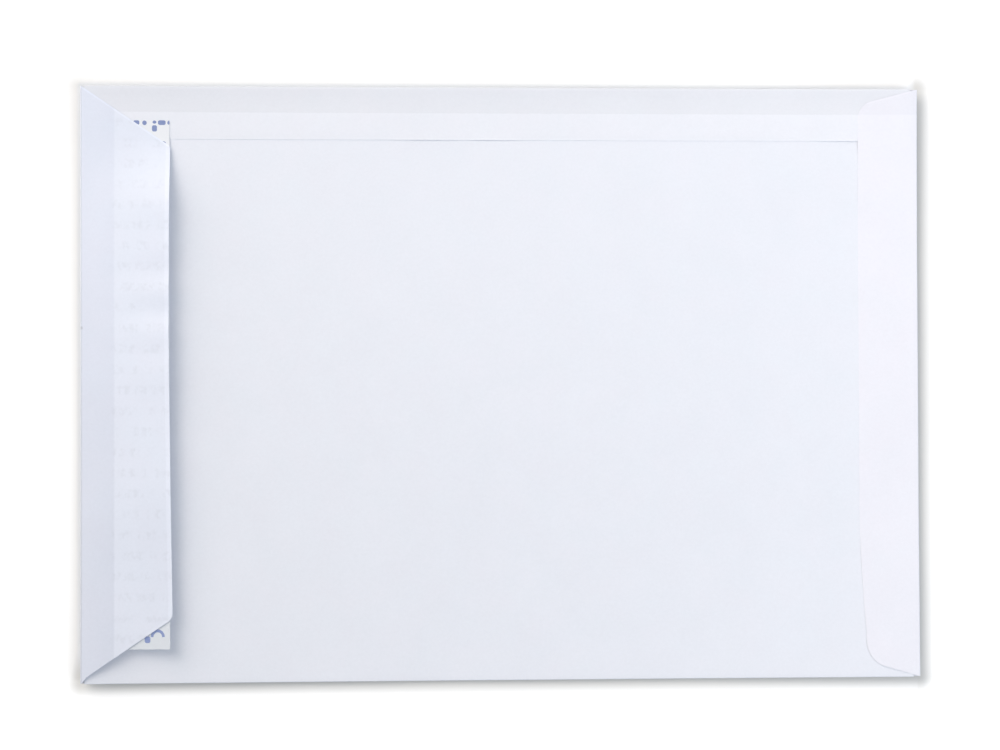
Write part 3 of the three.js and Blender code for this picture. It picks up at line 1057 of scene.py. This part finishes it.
# %% [markdown]
# ## Marks on the liner
# A release liner is printed in rows along its whole length. Here the print is only a generic
# pattern of blue bars, dots and arches. A row of points is repeated down the liner, each
# point gets one of three shapes, and the shapes then follow the liner's surface. The marks of
# the first row keep the sizes given here, and those below vary at random, but always alike.
# The last six marks have no copies. They show at the flap's edge and at its lower end.

# %% Tree: marks in rows
INK_HEIGHT = 0.012
EDGE_MARGIN = 0.02
ROW_COUNT = 25
BAR, DOT, ARCH = 0, 1, 2
SHAPE_COUNT = 3
WIDTH_CHANGE = 0.35
HEIGHT_CHANGE = 0.25
# x, y, shape, width, height and number of copies
MARKS = [
    (-147.6, 100.6, BAR, 1.9, 1.5, ROW_COUNT),
    (-143.9, 100.1, DOT, 1.5, 1.5, ROW_COUNT),
    (-140.5, 100.3, BAR, 2.3, 1.7, ROW_COUNT),
    (-137.4, 100.2, DOT, 1.7, 1.8, ROW_COUNT),
    (-133.6, 100.5, DOT, 1.5, 1.2, ROW_COUNT),
    (-133.6, 98.1, BAR, 1.9, 2.4, ROW_COUNT),
    (-130.8, 100.3, BAR, 2.9, 1.8, ROW_COUNT),
    (-128.2, 100.3, DOT, 1.0, 1.5, 1),
    (-128.1, 77.8, BAR, 0.7, 2.0, 1),
    (-128.1, 69.4, BAR, 0.6, 1.6, 1),
    (-128.1, -13.9, BAR, 0.7, 3.4, 1),
    (-132.6, -96.5, ARCH, 5.2, 5.6, 1),
    (-136.5, -97.5, BAR, 2.2, 2.5, 1),
]


def marks_row():
    """The first row as loose points, with the shape and the size of each mark."""
    mesh = bpy.data.meshes.new("marks_row")
    mesh.from_pydata([(m[0], m[1], 0) for m in MARKS], [], [])
    kinds = {"shape": "INT", "wide": "FLOAT", "high": "FLOAT", "copies": "INT"}
    for column, (name, kind) in enumerate(kinds.items(), start=2):
        attribute = mesh.attributes.new(name, kind, "POINT")
        attribute.data.foreach_set("value", [mark[column] for mark in MARKS])
    return mesh


def stored(maker, name, kind):
    return maker.node("GeometryNodeInputNamedAttribute", {"data_type": kind}, {"Name": name})


def chance(maker, low, high, number, seed):
    """A random number for each mark, the same in each run."""
    return maker.node("FunctionNodeRandomValue", {"data_type": "FLOAT"}, {
        "Min": low, "Max": high, "ID": number, "Seed": seed,
    })


marks_tree, make = new_tree(
    "Marks on the liner",
    [("Row", "geometry"), ("Seed", "count")]
    + numbers("Pitch", "Depth", *RISE_INPUTS)
    + [("Ink", "material")],
    [("Marks", "geometry")],
)

# the three shapes, each about one millimetre wide and high
bar = make.node("GeometryNodeCurvePrimitiveQuadrilateral", {}, {"Width": 1.0, "Height": 1.0})
bar = make.node("GeometryNodeFilletCurve", {"mode": "POLY"}, {
    "Curve": bar, "Count": 4, "Radius": 0.3,
})
bar = make.node("GeometryNodeFillCurve", {"mode": "NGONS"}, {"Curve": bar})
dot = make.node("GeometryNodeMeshCircle", {"fill_type": "NGON"}, {"Vertices": 16, "Radius": 0.5})
arch = make.node("GeometryNodeCurveArc", {"mode": "RADIUS"}, {
    "Resolution": 12, "Radius": 0.42, "Start Angle": 0.0, "Sweep Angle": math.pi,
})
brush = make.node("GeometryNodeCurvePrimitiveLine", {}, {
    "Start": (-0.1, 0.0, 0.0), "End": (0.1, 0.0, 0.0),
})
arch = make.node("GeometryNodeCurveToMesh", {}, {"Curve": arch, "Profile Curve": brush})

shapes = make.node("GeometryNodeGeometryToInstance", {}, {})
join = shapes.socket.node
for shape in (arch, dot, bar):
    make.tree.links.new(shape.socket, join.inputs[0])

# the rows of points, and what each point gets
copies = make.node("GeometryNodeDuplicateElements", {"domain": "POINT"}, {
    "Geometry": make.sockets["Row"], "Amount": stored(make, "copies", "INT"),
})
number = copies.out("Duplicate Index")
down = make.vector(0.0, number * make.sockets["Pitch"] * -1.0, 0.0)
points = make.node("GeometryNodeSetPosition", {}, {"Geometry": copies, "Offset": down})
each = make.node("GeometryNodeInputIndex")
seed = make.sockets["Seed"]
varied = make.clamp(number)
wider = varied * chance(make, -WIDTH_CHANGE, WIDTH_CHANGE, each, seed)
wide = stored(make, "wide", "FLOAT") * (1 + wider)
higher = varied * chance(make, -HEIGHT_CHANGE, HEIGHT_CHANGE, each, seed + 1)
high = stored(make, "high", "FLOAT") * (1 + higher)
turned_on = varied * chance(make, 0.0, SHAPE_COUNT - 0.01, each, seed + 2)
pick = make.math("FLOOR", stored(make, "shape", "INT") + turned_on)
pick = make.math("MODULO", pick, SHAPE_COUNT)
inked = make.node("GeometryNodeInstanceOnPoints", {}, {
    "Points": points, "Instance": shapes, "Pick Instance": True, "Instance Index": pick,
    "Scale": make.vector(wide, high, 1.0),
})
real = make.node("GeometryNodeRealizeInstances", {}, {"Geometry": inked})

# the marks end at the liner's edge and lie on its surface
x, y = make.point()
x = make.math("MINIMUM", x, LINER_END_X - EDGE_MARGIN) + SKEW * y
z = RAISED_LEVEL + seal_rise(make, x, y) - make.sockets["Depth"]
close_tree(make, {"Marks": finished(make, real, make.vector(x, y, z), "Ink")})
print("marks tree:", len(marks_tree.nodes), "nodes")


# %% Ink and the marks
INK_TONES = ((0.20, 0.26, 0.50, 1), (0.30, 0.36, 0.57, 1))
INK_DEPTH = 2 * STRIP_GAP + ADHESIVE - INK_HEIGHT / 2
MARKS_SEED = 7


def blue_ink():
    """Thinly printed ink, lighter in places."""
    material, make = new_material("liner_ink")
    _, _, place = millimetres(make)
    thin = make.clamp(make.noise(place, scale=1.3, detail=2.0) + 0.5)
    colour = mixed(make, thin, *INK_TONES)
    roughness = make.noise(place, scale=1.0, detail=2.0) * 0.1 + 0.5
    finish_material(make, colour, roughness, paper_bump(make, place, FILM_BUMP), specular=0.3)
    return material


marks = new_object("liner_marks", marks_row())
add_nodes_modifier(marks, marks_tree, {
    **RISE_INPUTS, "Pitch": ROW_PITCH, "Depth": INK_DEPTH, "Seed": MARKS_SEED,
    "Ink": blue_ink(),
})
settle(marks, INK_HEIGHT)

# %% [markdown]
# ## Gum in the seams
# Two lines of dried gum hold the pocket together. They are thin films that only show at the
# open ends of the seams. Each is a flat net that a small tree lays on the paper below it.

# %% Tree: line of gum
GUM = 0.04
GUM_INSET = 2.0
GUM_LEVEL = SIDE_LEVEL - 0.035

gum_tree, make = new_tree(
    "Line of gum",
    [("Net", "geometry")] + numbers("Level", "Climb", "Edge rise") + [("Finish", "material")],
    [("Gum", "geometry")],
)
x, y = make.point()
z = make.sockets["Level"] + lie(make, x, y) + make.sockets["Climb"] * seam_step(make, x, y)
line = finished(make, make.sockets["Net"], make.vector(x, y, z), "Finish")
close_tree(make, {"Gum": line})
print("gum tree:", len(gum_tree.nodes), "nodes")


# %% The two lines of gum
def gum_line(name, first, second, place, climb):
    """A line of gum on the net; it climbs onto the side flap by that share of the step."""
    bm = bmesh.new()
    add_net(bm, first, second, place)
    net = bpy.data.meshes.new(name)
    bm.to_mesh(net)
    bm.free()
    piece = new_object(name, net)
    add_nodes_modifier(piece, gum_tree, {
        "Level": GUM_LEVEL, "Climb": climb, "Edge rise": RISE_INPUTS["Edge rise"],
        "Finish": gum,
    })
    return settle(piece, GUM)


def under_bottom_flap(x, y):
    """A place of the net that keeps inside the bottom flap's outline."""
    distance = BOTTOM_FOLD_X - x
    half = half_width(distance, BOTTOM_REACH, BOTTOM_TAPER, BOTTOM_RADII["lower"])
    across = y * (half - GUM_INSET) / FLAP_HALF
    return (x + bottom_shift(across) * distance / BOTTOM_REACH, across, 0)


gum = dried_gum()
side_gum = gum_line(
    "side_gum_line",
    stations(MOUTH_X + GUM_INSET, HIDDEN_END_X - GUM_INSET, PANEL_STEP),
    stations(SIDE_EDGE_Y + GUM_INSET, BACK_EDGE_Y - GUM_INSET, SEAM_STEP),
    lambda x, y: (x, y, 0),
    0.0,
)
bottom_gum = gum_line(
    "bottom_gum_line",
    stations(BOTTOM_EDGE_X + GUM_INSET, HIDDEN_END_X - GUM_INSET, SEAM_STEP),
    rows,
    under_bottom_flap,
    1.0,
)

# %% [markdown]
# ## Ties to the CAD model
# Nothing moves on its own, so each piece rides on the root body. Each piece but the print
# stands for the CAD solid that it replaces, which is hidden; its material has that solid's slot
# name.

# %% What each piece rides on and stands for
for piece, node, slot in (
    (sheet, "envelope_sheet", "envelope_paper"),
    (adhesive, "seal_adhesive", "seal_adhesive"),
    (liner, "release_liner", "liner_paper"),
    (side_gum, "side_seam_gum", "dried_gum"),
    (bottom_gum, "bottom_seam_gum", "dried_gum"),
):
    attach(piece, "root")
    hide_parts(node)
    print(piece.name, "stands for", node)
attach(marks, "root")

# %% [markdown]
# ## Floor and light
# The photo has a pure white ground, with a soft shadow at the right and below. Two wide warm
# softboxes at the upper left make the shadows of the flap and of the edges, with soft rims. A
# weak cool fill from the lower right and an even cool room lighten them. The floor glows a
# little, to stay white, and the glow fades beside the paper, where the floor's colour also has a
# painted grey shadow in a narrow band, wider at the right and below. That painted shadow deepens
# the real one where the edges come down to the floor.

# %% Floor
FLOOR_HALF = 1.6
GLOW = 0.25
GLOW_EDGES = (2.0, 14.0)
# the widths of the painted shadow band on the floor beside the paper
SHADOW_BAND = 2.4
RIGHT_SHADOW_BAND = 4.8
LOWER_SHADOW_BAND = 3.6
RIGHT_RUN = 3.0
LOWER_RUN = 12.0
UPPER_LEFT_SHADOW_TONE = (0.85, 0.88, 0.92, 1)
LOWER_RIGHT_SHADOW_TONE = (0.68, 0.67, 0.65, 1)


def white_floor():
    material, make = new_material("white_floor")
    x, y, place = millimetres(make)
    past_end = make.math("MAXIMUM", make.math("ABSOLUTE", x) - HALF_LENGTH, 0.0)
    past_side = make.math("MAXIMUM", make.math("ABSOLUTE", y) - HALF_WIDTH, 0.0)
    outside = make.math("SQRT", past_end * past_end + past_side * past_side)
    at_right = make.clamp((x - HALF_LENGTH) / RIGHT_RUN + 1.0)
    below = make.clamp((y * -1.0 - HALF_WIDTH) / LOWER_RUN + 1.0)
    # a painted grey shadow in a band beside the paper, wider at the right and below
    band = make.math("MAXIMUM", at_right * RIGHT_SHADOW_BAND, below * LOWER_SHADOW_BAND) + SHADOW_BAND
    beside = make.ease(outside / band, 1.0, 0.0)
    lower_right = make.math("MAXIMUM", at_right, below)
    tone = mixed(make, lower_right, UPPER_LEFT_SHADOW_TONE, LOWER_RIGHT_SHADOW_TONE)
    colour = mixed(make, beside, (1, 1, 1, 1), tone)
    colour = toned(make, colour, make.noise(place, scale=0.02, detail=2.0) * 0.004 + 0.998)
    # painted shade: the floor's glow fades beside the paper
    away = make.ease(outside, *GLOW_EDGES)
    shader = make.node("ShaderNodeBsdfPrincipled", {}, {
        "Base Color": colour, "Roughness": 0.9, "Specular IOR Level": 0.0,
        "Emission Color": mixed(make, away, (0.05, 0.05, 0.05, 1), (1, 1, 1, 1)),
        "Emission Strength": GLOW,
    })
    make.node("ShaderNodeOutputMaterial", {}, {"Surface": shader})
    return material


floor_mesh = bpy.data.meshes.new("floor")
corners = [
    (a * FLOOR_HALF, b * FLOOR_HALF, 0)
    for a, b in ((-1, -1), (1, -1), (1, 1), (-1, 1))
]
floor_mesh.from_pydata(corners, [], [(0, 1, 2, 3)])
floor = new_object("floor", floor_mesh)
floor.data.materials.append(white_floor())
print("floor", 2 * FLOOR_HALF, "m wide")

# %% Lights
WARM = (1.0, 0.928, 0.847)
COOL = (0.892, 0.943, 1.0)
ROOM_STRENGTH = 0.366


def softbox(name, place, aim, side, power, colour):
    """A square lamp at a place, turned to what it lights; lengths are in metres."""
    light = bpy.data.lights.new(name, "AREA")
    light.shape = "RECTANGLE"
    light.size = side
    light.size_y = side
    light.energy = power
    light.color = colour
    box = new_object(name, light)
    box.location = place
    box.rotation_euler = (Vector(aim) - Vector(place)).to_track_quat("-Z", "Y").to_euler()


softbox("low_softbox", (-2.6, 2.3, 1.05), (0, 0, 0), side=3.4, power=139, colour=WARM)
softbox("high_softbox", (-2.3, 2.2, 2.5), (0, 0, 0), side=4.0, power=70, colour=WARM)
softbox("right_fill", (1.0, -0.55, 0.8), (0.03, 0, 0), side=1.0, power=11.2, colour=COOL)

world = bpy.data.worlds.new("white_room")
world.use_nodes = True
bpy.context.scene.world = world
background = world.node_tree.nodes["Background"]
background.inputs["Color"].default_value = (*COOL, 1)
background.inputs["Strength"].default_value = ROOM_STRENGTH

view = bpy.context.scene.view_settings
view.view_transform = "Standard"
view.look = "None"
view.exposure = 0
view.gamma = 1
print("three softboxes in a room of strength", ROOM_STRENGTH)
